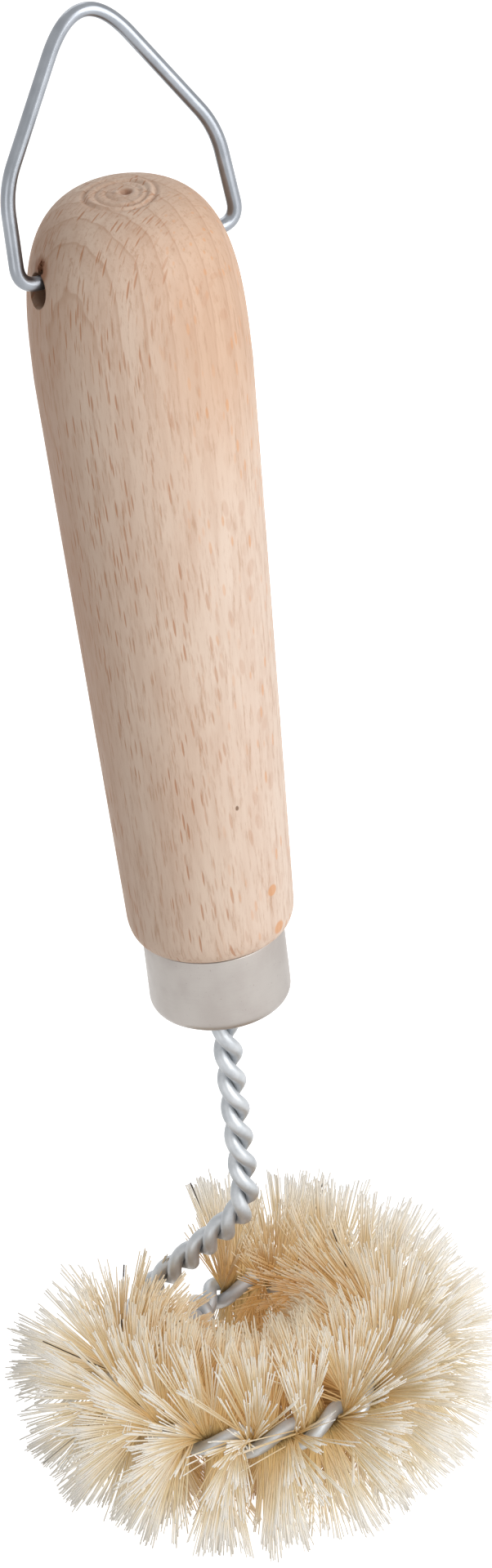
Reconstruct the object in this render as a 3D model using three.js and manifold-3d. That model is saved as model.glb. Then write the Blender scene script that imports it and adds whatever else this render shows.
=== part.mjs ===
// Drain brush: a turned wooden handle with a swinging wire loop on top, a pressed ferrule, and a stem of
// two twisted wires that bends into a ring and grips natural bristles between its turns.
// Millimetres, +Z up. The part stands on its bristle ring, with the origin under the middle of its
// bounding box, and the hanging loop swings about an axis along X.
import * as THREE from "three";
import { mergeVertices } from "three/addons/utils/BufferGeometryUtils.js";
import Module from "manifold-3d";

// Handle
const HANDLE_LENGTH = 124.9; // from the shoulder over the ferrule to the top of the dome
const HANDLE_END_RADIUS = 10.9; // at the shoulder
const HANDLE_NECK_RADIUS = 12.75; // above the eased lower edge
const HANDLE_EASE = 4; // height of the eased lower edge
const HANDLE_RADIUS = 16.1; // at the widest place
const DOME_HEIGHT = 29; // from the widest place to the top
const DOME_FULLNESS = 3.2; // exponent of the dome's superellipse
const HANDLE_OFFSET = 1.8; // the handle's axis stands this far along X from the ring's centre
const RING_SETBACK = 1.4; // from the origin back to the ring's centre: the ring has no bristles at the back

// Ferrule
const FERRULE_RADIUS = 10.8;
const FERRULE_HEIGHT = 13;
const FERRULE_WALL = 0.6;
const FERRULE_CORNER = 2.1; // outer radius of the lower edge

// Wire stem and ring
const STEM_WIRE_DIAMETER = 2.1;
const STEM_SEAT = 25; // length of the stem inside the handle, above the shoulder
const STEM_PITCH = 10.4; // one full turn of the twist on the bare stem
const RING_PITCH = 15.6; // one full turn where the wires hold bristles
const TAIL_PITCH = 8; // one full turn on the bare tail
const TWIST_START = 160; // direction of the first wire at the stem's top end, in degrees
const RING_RADIUS = 21.25;
const RING_DROP = 80.5; // from the handle's shoulder down to the ring
const BEND_HEIGHT = 28.6; // corner of the stem above the ring
const BEND_CUT = 5; // length of that corner's curve along each side
const JOIN_ANGLE = 143; // where the stem runs into the ring, in degrees from +X
const JOIN_RUN = 9; // length of the joining curve along each side
const JOIN_RISE = 2.4; // height of the ring's first point over the rest of the ring
const JOIN_SPAN = 50; // angle over which the ring comes down by that height
const RING_END = 459; // where the ring's bare tail ends, in degrees from +X
const TAIL_INSET = 6; // the tail curls in from the ring by this much

// Bristles
const BRISTLE_REACH = 16.5; // from the middle of the wires to the tips
const BRISTLE_WIDTH = 0.42; // of one bunch of hairs along the wire, at its root
const BRISTLE_THICKNESS = 0.5; // across, and of the mat between the wires
const BRISTLE_SPREAD = 1.4; // section of a bunch at its tip as a share of its root's
const BRISTLE_STEP = 0.56; // from one bristle to the next along the wire
const MAT_HALF_WIDTH = 1.2; // the mat between the wires, to each side of their middle
const FILL_LEAD = 1.5; // bristles begin this far before the ring
const OPENING_RUN = 3; // length over which the wires open for the bristles, and close again after them
const FILL_END = 440; // and end here on the ring, in degrees from +X
const STANDING_CUT = 0.5; // depth of the tips cut flat where the brush stands
const SHORTEST_BRISTLE = 4; // a bristle that would have to be shorter is left out
const HOLD_RUN = 8; // length of the wires' turns that hold a bristle, to each side of it

// Hanging loop
const LOOP_WIRE_DIAMETER = 2.2;
const LOOP_HOLE_PLAY = 2.8; // the hole is this much wider than the wire in it
const LOOP_HOLE_DROP = 11.4; // from the top of the dome down to the hole's middle
const LOOP_SIDE_GAP = 0.4; // from the handle's widest place to the loop's legs
const LOOP_KNEE_INSET = 0.8; // the knees stand this far inside the legs' lower ends
const LOOP_KNEE_HEIGHT = 14.9; // above the loop's axis
const LOOP_PEAK = 42.9; // where the two sides of the loop would meet
const LOOP_BEND_CUT = 3.4; // lengths of the corners' curves along each side
const LOOP_KNEE_CUT = 4;
const LOOP_PEAK_CUT = 12.6;
const LOOP_END_INSET = 8; // length of each turned-in end inside the handle
const LOOP_LEAN = 10; // the loop leans back by this angle

// Clearances
const SEAT_GAP = 0.3; // between pieces that touch on the real brush
const BRISTLE_CLEARANCE = 0.5; // between bristles, and from a bristle to a wire it passes

// Fineness of the surfaces
const ROUND_STEPS = 36;
const HOLE_STEPS = 18;
const DOME_STEPS = 14;
const EASE_STEPS = 4;
const CORNER_STEPS = 4;
const WIRE_SIDES = 6;
const STRAND_STEPS = 190;
const LOOP_SIDES = 8;
const LOOP_STEPS = 64;
const FRAME_STEPS = 600;
const CLEAR_STEPS = 8; // lengths that a bristle is tried at
const SAME_PLACE = 1e-4; // points nearer than this are one point
const BRISTLE_NODES = ["bristles_left", "bristles_front", "bristles_right", "bristles_back"];

// Places worked out from the sizes above
const stemWireRadius = STEM_WIRE_DIAMETER / 2;
const loopWireRadius = LOOP_WIRE_DIAMETER / 2;
const ringHeight = BRISTLE_REACH - STANDING_CUT;
const shoulderHeight = ringHeight + RING_DROP;
const handleTop = shoulderHeight + HANDLE_LENGTH;
const ferruleRim = shoulderHeight - SEAT_GAP;
const ferruleBottom = ferruleRim - FERRULE_HEIGHT;
const ferruleInnerCorner = FERRULE_CORNER - FERRULE_WALL;
const tenonRadius = FERRULE_RADIUS - FERRULE_WALL - SEAT_GAP;
const tenonBottom = ferruleBottom + FERRULE_WALL + SEAT_GAP;
const stemTop = shoulderHeight + STEM_SEAT;
const stemTwistRadius = (STEM_WIRE_DIAMETER + SEAT_GAP) / 2;
const ringTwistRadius = (STEM_WIRE_DIAMETER + BRISTLE_THICKNESS) / 2 + SEAT_GAP;
const stemBoreRadius = stemTwistRadius + stemWireRadius + SEAT_GAP;
const loopHoleRadius = (LOOP_WIRE_DIAMETER + LOOP_HOLE_PLAY) / 2;
const loopHoleHeight = handleTop - LOOP_HOLE_DROP;
const loopAxisHeight = loopHoleHeight + loopHoleRadius - loopWireRadius - SEAT_GAP;
const loopHalfWidth = HANDLE_RADIUS + LOOP_SIDE_GAP + loopWireRadius;
const loopKneeHalfWidth = loopHalfWidth - LOOP_KNEE_INSET;

const degrees = THREE.MathUtils.degToRad;
const wasm = await Module();
wasm.setup();

function solidFrom(geometry) {
  const bare = geometry.clone();
  bare.deleteAttribute("normal");
  bare.deleteAttribute("uv");
  const merged = mergeVertices(bare, SAME_PLACE);
  const mesh = new wasm.Mesh({
    numProp: 3,
    vertProperties: merged.attributes.position.array,
    triVerts: new Uint32Array(merged.index.array),
  });
  return new wasm.Manifold(mesh);
}

function geometryFrom(solid) {
  const mesh = solid.getMesh();
  const geometry = new THREE.BufferGeometry();
  geometry.setAttribute("position", new THREE.BufferAttribute(mesh.vertProperties, 3));
  geometry.setIndex(new THREE.BufferAttribute(mesh.triVerts, 1));
  return geometry;
}

// A path of straight runs with curved corners. Each corner is [point, length of its curve along each side].
function roundedPath(start, corners, end) {
  const path = new THREE.CurvePath();
  let last = start;
  corners.forEach(([corner, cut], index) => {
    const next = index + 1 < corners.length ? corners[index + 1][0] : end;
    const into = corner.clone().addScaledVector(last.clone().sub(corner).normalize(), cut);
    const out = corner.clone().addScaledVector(next.clone().sub(corner).normalize(), cut);
    path.add(new THREE.LineCurve3(last, into));
    path.add(new THREE.QuadraticBezierCurve3(into, corner, out));
    last = out;
  });
  if (last.distanceTo(end) > SAME_PLACE) path.add(new THREE.LineCurve3(last, end));
  return path;
}

function wireTube(curve, radius, sides, steps) {
  const section = new THREE.Shape();
  for (let side = 0; side < sides; side++) {
    const angle = (2 * Math.PI * side) / sides;
    const x = radius * Math.cos(angle);
    const y = radius * Math.sin(angle);
    if (side === 0) section.moveTo(x, y);
    else section.lineTo(x, y);
  }
  section.closePath();
  return new THREE.ExtrudeGeometry(section, { extrudePath: curve, steps, bevelEnabled: false });
}

function turned(profile) {
  const points = profile.map(([radius, height]) => new THREE.Vector2(radius, height));
  const lathe = new THREE.LatheGeometry(points, ROUND_STEPS);
  return lathe.rotateX(Math.PI / 2).translate(HANDLE_OFFSET, 0, 0);
}

// The handle is turned with a tenon for the ferrule and bored for the stem, then drilled across for the loop.
function handleGeometry() {
  const widest = handleTop - DOME_HEIGHT;
  const boreTop = stemTop + stemWireRadius + SEAT_GAP; // the wires' slanted ends reach over the stem's end
  const profile = [
    [0, boreTop],
    [stemBoreRadius, boreTop],
    [stemBoreRadius, tenonBottom],
    [tenonRadius - ferruleInnerCorner, tenonBottom],
    [tenonRadius, tenonBottom + ferruleInnerCorner],
    [tenonRadius, shoulderHeight],
  ];
  for (let step = 0; step <= EASE_STEPS; step++) {
    const angle = (Math.PI / 2) * (step / EASE_STEPS);
    const radius = HANDLE_END_RADIUS + (HANDLE_NECK_RADIUS - HANDLE_END_RADIUS) * Math.sin(angle);
    profile.push([radius, shoulderHeight + HANDLE_EASE * (1 - Math.cos(angle))]);
  }
  for (let step = 0; step < DOME_STEPS; step++) {
    const angle = (Math.PI / 2) * (step / DOME_STEPS);
    const radius = HANDLE_RADIUS * Math.cos(angle) ** (2 / DOME_FULLNESS);
    profile.push([radius, widest + DOME_HEIGHT * Math.sin(angle) ** (2 / DOME_FULLNESS)]);
  }
  profile.push([0, handleTop]);
  const hole = new THREE.CylinderGeometry(loopHoleRadius, loopHoleRadius, HANDLE_LENGTH, HOLE_STEPS);
  hole.rotateZ(Math.PI / 2).translate(HANDLE_OFFSET, 0, loopHoleHeight);
  return geometryFrom(solidFrom(turned(profile)).subtract(solidFrom(hole)));
}

// The ferrule is a thin cup, pressed over the tenon, with a round hole in its floor for the stem.
function ferruleGeometry() {
  const inner = FERRULE_RADIUS - FERRULE_WALL;
  const floor = ferruleBottom + FERRULE_WALL;
  const outerEdge = [];
  const innerEdge = [];
  for (let step = 0; step <= CORNER_STEPS; step++) {
    const angle = (Math.PI / 2) * (step / CORNER_STEPS);
    const across = 1 - Math.sin(angle);
    const up = 1 - Math.cos(angle);
    outerEdge.push([FERRULE_RADIUS - FERRULE_CORNER * across, ferruleBottom + FERRULE_CORNER * up]);
    innerEdge.unshift([inner - ferruleInnerCorner * across, floor + ferruleInnerCorner * up]);
  }
  const profile = [
    [stemBoreRadius, ferruleBottom],
    ...outerEdge,
    [FERRULE_RADIUS, ferruleRim],
    [inner, ferruleRim],
    ...innerEdge,
    [stemBoreRadius, floor],
    [stemBoreRadius, ferruleBottom],
  ];
  return turned(profile);
}

// The loop is one bent wire in the XZ plane about its own axis, with its ends turned into the cross hole.
function loopGeometry() {
  const at = (x, z) => new THREE.Vector3(x, 0, z);
  const end = HANDLE_RADIUS - LOOP_END_INSET;
  const corners = [
    [at(-loopHalfWidth, 0), LOOP_BEND_CUT],
    [at(-loopKneeHalfWidth, LOOP_KNEE_HEIGHT), LOOP_KNEE_CUT],
    [at(0, LOOP_PEAK), LOOP_PEAK_CUT],
    [at(loopKneeHalfWidth, LOOP_KNEE_HEIGHT), LOOP_KNEE_CUT],
    [at(loopHalfWidth, 0), LOOP_BEND_CUT],
  ];
  const path = roundedPath(at(-end, 0), corners, at(end, 0));
  return wireTube(path, loopWireRadius, LOOP_SIDES, LOOP_STEPS);
}

// The ring: an arc about the Z axis that comes down a little at its start and curls in at its tail.
class RingArc extends THREE.Curve {
  getPoint(t) {
    const angle = JOIN_ANGLE + (RING_END - JOIN_ANGLE) * t;
    const settled = Math.min((angle - JOIN_ANGLE) / JOIN_SPAN, 1);
    const tail = Math.max((angle - FILL_END) / (RING_END - FILL_END), 0);
    const radius = RING_RADIUS - TAIL_INSET * tail ** 2;
    const x = radius * Math.cos(degrees(angle));
    const y = radius * Math.sin(degrees(angle));
    return new THREE.Vector3(x, y, ringHeight + JOIN_RISE * (1 - settled) ** 2);
  }
}

// The middle line of the two wires, from the stem's top end to the ring's tail.
function stemLine() {
  const ring = new RingArc();
  const ringStart = ring.getPoint(0);
  const fall = (2 * JOIN_RISE) / (RING_RADIUS * degrees(JOIN_SPAN));
  const along = new THREE.Vector3(-Math.sin(degrees(JOIN_ANGLE)), Math.cos(degrees(JOIN_ANGLE)), -fall);
  const joinCorner = ringStart.clone().addScaledVector(along.normalize(), -JOIN_RUN);
  const top = new THREE.Vector3(HANDLE_OFFSET, 0, stemTop);
  const bend = new THREE.Vector3(HANDLE_OFFSET, 0, ringHeight + BEND_HEIGHT);
  const line = roundedPath(top, [[bend, BEND_CUT], [joinCorner, JOIN_RUN]], ringStart);
  line.ringStart = line.getLength();
  line.fillStart = line.ringStart - FILL_LEAD;
  line.add(ring);
  line.updateArcLengths();
  line.arcLengthDivisions = FRAME_STEPS;
  return line;
}

const middle = stemLine();
const middleLength = middle.getLength();
const middleFrames = middle.computeFrenetFrames(FRAME_STEPS);
const fillEnd = middle.ringStart + RING_RADIUS * degrees(FILL_END - JOIN_ANGLE);

// How far the wires have opened and slowed their twist for the bristles: 0 on the bare stem and tail, 1 in
// the fill.
function opened(distance) {
  const entering = (distance - middle.fillStart) / OPENING_RUN + 1;
  const leaving = (fillEnd - distance) / OPENING_RUN + 1;
  return THREE.MathUtils.clamp(Math.min(entering, leaving), 0, 1);
}

const twistAngles = [degrees(TWIST_START)];
for (let step = 1; step <= FRAME_STEPS; step++) {
  const distance = (middleLength * (step - 0.5)) / FRAME_STEPS;
  const barePitch = distance < fillEnd ? STEM_PITCH : TAIL_PITCH;
  const turnsPerLength = THREE.MathUtils.lerp(1 / barePitch, 1 / RING_PITCH, opened(distance));
  const turn = (2 * Math.PI * turnsPerLength * middleLength) / FRAME_STEPS;
  twistAngles.push(twistAngles[step - 1] - turn);
}

// Where the twist stands at a distance along the middle line: the direction to the first wire, and the
// direction square to it, in which the bristles leave.
function twistAt(distance) {
  const share = THREE.MathUtils.clamp(distance / middleLength, 0, 1);
  const place = share * FRAME_STEPS;
  const low = Math.min(Math.floor(place), FRAME_STEPS - 1);
  const part = place - low;
  const blend = (list) => list[low].clone().lerp(list[low + 1], part).normalize();
  const angle = THREE.MathUtils.lerp(twistAngles[low], twistAngles[low + 1], part);
  const normal = blend(middleFrames.normals);
  const binormal = blend(middleFrames.binormals);
  const across = (a) => normal.clone().multiplyScalar(Math.cos(a)).addScaledVector(binormal, Math.sin(a));
  return { point: middle.getPointAt(share), toWire: across(angle), toBristle: across(angle + Math.PI / 2) };
}

class TwistedWire extends THREE.Curve {
  constructor(side) {
    super();
    this.side = side;
    this.arcLengthDivisions = 2 * FRAME_STEPS;
  }

  getPoint(t) {
    const distance = t * middleLength;
    const { point, toWire } = twistAt(distance);
    const radius = THREE.MathUtils.lerp(stemTwistRadius, ringTwistRadius, opened(distance));
    return point.addScaledVector(toWire, this.side * radius);
  }
}

// Least distance between two straight lines of points from a to b and from c to d.
function lineGap(a, b, c, d) {
  const u = b.clone().sub(a);
  const v = d.clone().sub(c);
  const w = a.clone().sub(c);
  const uu = u.dot(u);
  const uv = u.dot(v);
  const vv = v.dot(v);
  const spread = uu * vv - uv * uv;
  const clamp = (value) => THREE.MathUtils.clamp(value, 0, 1);
  let s = spread > SAME_PLACE ? clamp((uv * v.dot(w) - vv * u.dot(w)) / spread) : 0;
  const t = clamp((uv * s + v.dot(w)) / vv);
  s = clamp((uv * t - u.dot(w)) / uu);
  return a.clone().addScaledVector(u, s).distanceTo(c.clone().addScaledVector(v, t));
}

// Every bristle of the brush: its place along the wires, its side, its root, its direction and its length.
// One that would meet another bristle, or a wire further along, is shortened until it is clear, or left out.
function growBristles() {
  const wireClearance = ringTwistRadius + stemWireRadius + BRISTLE_CLEARANCE;
  const wireLine = middle.getSpacedPoints(FRAME_STEPS);
  const grown = [];
  const isClear = (bristle, tip) => {
    const line = new THREE.Line3(bristle.root, tip);
    const nearest = new THREE.Vector3();
    const passesWires = wireLine.every((point, step) => {
      const distance = (middleLength * step) / FRAME_STEPS;
      if (Math.abs(distance - bristle.distance) < HOLD_RUN) return true;
      return line.closestPointToPoint(point, true, nearest).distanceTo(point) > wireClearance;
    });
    return passesWires && grown.every((other) => {
      if (Math.abs(other.index - bristle.index) <= 1) return true;
      return lineGap(bristle.root, tip, other.root, other.tip) > BRISTLE_CLEARANCE;
    });
  };
  const count = Math.floor((fillEnd - middle.fillStart) / BRISTLE_STEP);
  for (let index = 0; index < count; index++) {
    const distance = middle.fillStart + (index + 0.5) * BRISTLE_STEP;
    const { point, toBristle } = twistAt(distance);
    for (const side of [1, -1]) {
      const direction = toBristle.clone().multiplyScalar(side);
      const root = point.clone().addScaledVector(direction, MAT_HALF_WIDTH);
      const bristle = { index, side, distance, root, direction };
      for (let step = 0; step < CLEAR_STEPS && !bristle.tip; step++) {
        const length = BRISTLE_REACH * (1 - step / CLEAR_STEPS);
        if (length < SHORTEST_BRISTLE) break;
        const tip = point.clone().addScaledVector(direction, length);
        if (isClear(bristle, tip)) bristle.tip = tip;
      }
      if (bristle.tip) grown.push(bristle);
    }
  }
  return { grown, count };
}

// A run of the mat between the wires, with its bristles drawn out of the mat's two edges, as one closed mesh.
function bristleGeometry(bristles, first, last) {
  const vertices = [];
  const triangles = [];
  const add = (point) => vertices.push(point) - 1;
  const quad = (a, b, c, d) => triangles.push(a, c, b, a, d, c);
  const section = (distance) => {
    const { point, toWire, toBristle } = twistAt(distance);
    const corner = (out, across) => add(
      point.clone()
        .addScaledVector(toBristle, out * MAT_HALF_WIDTH)
        .addScaledVector(toWire, (across * BRISTLE_THICKNESS) / 2),
    );
    return [corner(-1, -1), corner(-1, 1), corner(1, 1), corner(1, -1)];
  };
  // The tip is a spread copy of the root's outline, and a tip below the standing plane is cut off there.
  const drawOut = (outline, bristle) => {
    const centre = new THREE.Vector3();
    outline.forEach((index) => centre.addScaledVector(vertices[index], 1 / outline.length));
    const tip = outline.map((index) => {
      const from = vertices[index];
      const to = bristle.tip.clone().addScaledVector(from.clone().sub(centre), BRISTLE_SPREAD);
      return add(to.z < 0 ? from.clone().lerp(to, from.z / (from.z - to.z)).setZ(0) : to);
    });
    outline.forEach((index, i) => {
      const next = (i + 1) % outline.length;
      quad(index, outline[next], tip[next], tip[i]);
    });
    quad(...tip);
  };
  const edge = (outline, bristle) => (bristle ? drawOut(outline, bristle) : quad(...outline));
  const grip = (before, after, onLeft, onRight) => {
    quad(before[1], after[1], after[2], before[2]);
    quad(before[3], after[3], after[0], before[0]);
    edge([before[0], after[0], after[1], before[1]], onLeft);
    edge([before[2], after[2], after[3], before[3]], onRight);
  };
  let before = null;
  for (let index = first; index < last; index++) {
    const distance = middle.fillStart + (index + 0.5) * BRISTLE_STEP;
    const near = section(distance - BRISTLE_WIDTH / 2);
    const far = section(distance + BRISTLE_WIDTH / 2);
    const on = (side) => bristles.find((bristle) => bristle.index === index && bristle.side === side);
    if (before) grip(before, near);
    else quad(...near);
    grip(near, far, on(-1), on(1));
    before = far;
  }
  quad(...before.toReversed());
  const geometry = new THREE.BufferGeometry().setFromPoints(vertices);
  geometry.setIndex(triangles);
  return geometry;
}

const wood = { color: 0xc6ad9b, roughness: 0.6, metalness: 0 };
const tinplate = { color: 0xb9b1ab, roughness: 0.4, metalness: 0.9 };
const galvanised = { color: 0xb4b8bc, roughness: 0.35, metalness: 0.9 };
const hair = { color: 0xd9c39b, roughness: 0.7, metalness: 0 };

const brush = new THREE.Group();
function addPiece(name, geometry, finish) {
  const piece = new THREE.Mesh(geometry, new THREE.MeshStandardMaterial(finish));
  piece.name = name;
  brush.add(piece);
  return piece;
}

addPiece("handle", handleGeometry(), wood);
addPiece("ferrule", ferruleGeometry(), tinplate);
addPiece("stem_wire_a", wireTube(new TwistedWire(1), stemWireRadius, WIRE_SIDES, STRAND_STEPS), galvanised);
addPiece("stem_wire_b", wireTube(new TwistedWire(-1), stemWireRadius, WIRE_SIDES, STRAND_STEPS), galvanised);

const { grown, count } = growBristles();
BRISTLE_NODES.forEach((name, quarter) => {
  const first = Math.round((count * quarter) / BRISTLE_NODES.length);
  const last = Math.round((count * (quarter + 1)) / BRISTLE_NODES.length);
  addPiece(name, bristleGeometry(grown, first, last), hair);
});

const loop = addPiece("hanging_loop", loopGeometry(), galvanised);
loop.position.set(HANDLE_OFFSET, 0, loopAxisHeight);
loop.rotation.x = degrees(-LOOP_LEAN);
brush.position.y = RING_SETBACK;

console.log(grown.length + " bristles at " + count + " places");
export default brush;
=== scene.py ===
# A drain brush, dressed for its photograph: a turned beech handle with a wire loop to hang it by, a pressed
# ferrule, and a stem of two twisted wires that bends into a ring and grips a fill of natural bristles.
# Sizes are in millimetres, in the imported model's frame: +Z up along the handle, the front at -Y, and the
# bristles standing on z = 0. Blender's own lengths are metres.
import math

import bmesh
import bpy
import numpy as np
from mathutils import Color, Matrix, Vector, noise


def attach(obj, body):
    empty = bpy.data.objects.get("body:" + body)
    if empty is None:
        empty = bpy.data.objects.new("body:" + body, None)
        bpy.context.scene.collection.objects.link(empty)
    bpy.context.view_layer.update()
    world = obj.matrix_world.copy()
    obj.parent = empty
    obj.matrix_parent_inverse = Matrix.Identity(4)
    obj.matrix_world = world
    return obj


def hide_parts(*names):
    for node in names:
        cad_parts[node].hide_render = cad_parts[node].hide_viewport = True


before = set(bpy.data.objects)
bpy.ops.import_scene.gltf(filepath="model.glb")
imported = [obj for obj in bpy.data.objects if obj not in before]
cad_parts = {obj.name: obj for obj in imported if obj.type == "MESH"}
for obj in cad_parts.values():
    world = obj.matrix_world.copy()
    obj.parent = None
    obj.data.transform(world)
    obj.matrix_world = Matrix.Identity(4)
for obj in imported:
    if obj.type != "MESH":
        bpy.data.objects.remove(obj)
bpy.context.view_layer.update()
scene = bpy.context.scene


# Handle: one club of pale beech, turned between a lathe's centres, sanded and left bare. The lathe's centre
# leaves a ringed mark on top of the dome, and a drill has gone straight across for the hanging loop and has
# torn some fibres out above the hole on the left.
MM = 0.001
AXIS_X = 1.8
AXIS_Y = 1.4
SHOULDER_Z = 96.5
HANDLE_TOP_Z = 221.4
SHOULDER_RADIUS = 10.9
NECK_RADIUS = 12.75
EASE_HEIGHT = 4.0
WIDEST_RADIUS = 16.1
DOME_HEIGHT = 29.0
DOME_FULLNESS = 3.2
TENON_RADIUS = 9.9
TENON_Z = 84.1
TENON_CHAMFER = 1.5
STEM_BORE_RADIUS = 2.55
STEM_BORE_TOP_Z = 122.85
EASE_ROWS = 12
BODY_ROWS = 48
DOME_ROWS = 60
CROWN_RADIUS = 9.0
CROWN_STEP = 0.18
HANDLE_SEGMENTS = 160
WELD = 0.001
SHARP_FROM = 40


def dome_height(radius):
    """Height of the dome's surface above the handle's widest place."""
    return DOME_HEIGHT * (1 - (radius / WIDEST_RADIUS) ** DOME_FULLNESS) ** (1 / DOME_FULLNESS)


def handle_profile():
    """Radius and height from the top of the stem's bore, round the outside, to the crown."""
    widest_z = HANDLE_TOP_Z - DOME_HEIGHT
    neck_z = SHOULDER_Z + EASE_HEIGHT
    points = [
        (0, STEM_BORE_TOP_Z),
        (STEM_BORE_RADIUS, STEM_BORE_TOP_Z),
        (STEM_BORE_RADIUS, TENON_Z),
        (TENON_RADIUS - TENON_CHAMFER, TENON_Z),
        (TENON_RADIUS, TENON_Z + TENON_CHAMFER),
        (TENON_RADIUS, SHOULDER_Z),
    ]
    for turn in np.linspace(0, math.pi / 2, EASE_ROWS):
        radius = SHOULDER_RADIUS + (NECK_RADIUS - SHOULDER_RADIUS) * math.sin(turn)
        points.append((radius, SHOULDER_Z + EASE_HEIGHT * (1 - math.cos(turn))))
    for share in np.linspace(0, 1, BODY_ROWS)[1:-1]:
        radius = NECK_RADIUS + (WIDEST_RADIUS - NECK_RADIUS) * share
        points.append((radius, neck_z + (widest_z - neck_z) * share))
    for turn in np.linspace(0, math.pi / 2, DOME_ROWS):
        radius = WIDEST_RADIUS * math.cos(turn) ** (2 / DOME_FULLNESS)
        if radius > CROWN_RADIUS:
            points.append((radius, widest_z + dome_height(radius)))
    for radius in np.arange(CROWN_RADIUS, CROWN_STEP / 2, -CROWN_STEP):
        points.append((radius, widest_z + dome_height(radius)))
    points.append((0, HANDLE_TOP_Z))
    return points


def shaped_piece(name, shape):
    """An object made of this shape, with its doubled points merged and its faces turned outwards."""
    bmesh.ops.remove_doubles(shape, verts=shape.verts, dist=WELD * MM)
    bmesh.ops.recalc_face_normals(shape, faces=shape.faces)
    mesh = bpy.data.meshes.new(name)
    shape.to_mesh(mesh)
    shape.free()
    piece = bpy.data.objects.new(name, mesh)
    scene.collection.objects.link(piece)
    return piece


def turned_piece(name, profile, segments):
    """A piece turned about the handle's axis. A profile point on the axis closes the shape with a pole."""
    shape = bmesh.new()
    rows = []
    for radius, height in profile:
        if radius == 0:
            rows.append([shape.verts.new((AXIS_X * MM, AXIS_Y * MM, height * MM))])
            continue
        row = []
        for step in range(segments):
            angle = 2 * math.pi * step / segments
            x = AXIS_X + radius * math.cos(angle)
            y = AXIS_Y + radius * math.sin(angle)
            row.append(shape.verts.new((x * MM, y * MM, height * MM)))
        rows.append(row)
    for lower, upper in zip(rows, rows[1:]):
        for step in range(segments):
            after = (step + 1) % segments
            if len(lower) == 1:
                shape.faces.new((lower[0], upper[after], upper[step]))
            elif len(upper) == 1:
                shape.faces.new((lower[step], lower[after], upper[0]))
            else:
                shape.faces.new((lower[step], lower[after], upper[after], upper[step]))
    return shaped_piece(name, shape)


def settle(piece):
    """Puts what the piece's modifiers make of it into its mesh, and takes the modifiers off."""
    depsgraph = bpy.context.evaluated_depsgraph_get()
    finished = bpy.data.meshes.new_from_object(
        piece.evaluated_get(depsgraph), preserve_all_data_layers=True, depsgraph=depsgraph
    )
    piece.modifiers.clear()
    started = piece.data
    piece.data = finished
    bpy.data.meshes.remove(started)
    finished.name = piece.name


def cut_away(piece, cutter):
    """Takes the cutter's shape out of the piece."""
    cut = piece.modifiers.new("cut", "BOOLEAN")
    cut.operation = "DIFFERENCE"
    cut.solver = "EXACT"
    cut.object = cutter
    settle(piece)
    bpy.data.objects.remove(cutter)


def smooth(piece, sharp_from):
    """Shades the piece smooth, except over edges sharper than that angle."""
    piece.data.shade_smooth()
    piece.data.set_sharp_from_angle(angle=math.radians(sharp_from))


# The mark of the lathe's centre on the crown: rings that wander a little, given by radius, width and depth,
# a dimple beside the axis, and the lip of wood that it pushed up.
CROWN_RINGS = [(5.3, 0.3, 0.42), (4.6, 0.3, -0.16), (3.8, 0.26, 0.55), (2.5, 0.3, 0.24)]
RING_WANDER = 0.25
RING_WOBBLE = 0.12
RING_EVENNESS = 0.65
DIMPLE = Vector((AXIS_X + 0.55, AXIS_Y - 0.2, HANDLE_TOP_Z))
DIMPLE_REACH = 0.62
DIMPLE_DEPTH = 1.1
LIP = Vector((AXIS_X - 0.7, AXIS_Y + 0.1, HANDLE_TOP_Z))
LIP_REACH = 0.6
LIP_HEIGHT = 0.3
ROUGH_RADIUS = 5.5
ROUGH_DEPTH = 0.05
ROUGH_WAVES = 1.7


def hump(distance, reach):
    """A soft hump, 1 at its middle and almost gone at twice its reach."""
    return math.exp(-((distance / reach) ** 2))


def mark_crown(mesh):
    """Presses the mark of the lathe's centre into the crown."""
    for vertex in mesh.vertices:
        place = vertex.co / MM
        from_axis = place.xy - Vector((AXIS_X, AXIS_Y))
        if from_axis.length > CROWN_RADIUS or place.z < HANDLE_TOP_Z - DOME_HEIGHT / 2:
            continue
        turn = math.atan2(from_axis.y, from_axis.x)
        drop = DIMPLE_DEPTH * hump((place.xy - DIMPLE.xy).length, DIMPLE_REACH)
        drop -= LIP_HEIGHT * hump((place.xy - LIP.xy).length, LIP_REACH)
        for radius, width, depth in CROWN_RINGS:
            wander = radius + RING_WANDER * math.sin(turn + radius) + RING_WOBBLE * math.sin(3 * turn)
            uneven = RING_EVENNESS + (1 - RING_EVENNESS) * math.sin(2 * turn + 3 * radius)
            drop += depth * uneven * hump(from_axis.length - wander, width)
        if from_axis.length < ROUGH_RADIUS:
            drop += ROUGH_DEPTH * noise.noise(place * ROUGH_WAVES)
        vertex.co.z -= drop * MM


# The hole across the handle, and the fibres that the drill tore out. The tear is a ball, made ragged by
# shares of noise at two finenesses.
LOOP_HOLE_RADIUS = 2.5
LOOP_HOLE_Z = 210.0
LOOP_HOLE_SIDES = 48
MOUTH_FROM_AXIS = 15.0
MOUTH_RUN = 1.0
MOUTH_FLARE = 0.2
TEAR_CENTRE = (-11.8, 1.2, 213.0)
TEAR_SIZE = (0.9, 1.0, 1.6)
TEAR_RAGGED = [(0.28, 3.1), (0.16, 9)]
TEAR_FINENESS = 4


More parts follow.
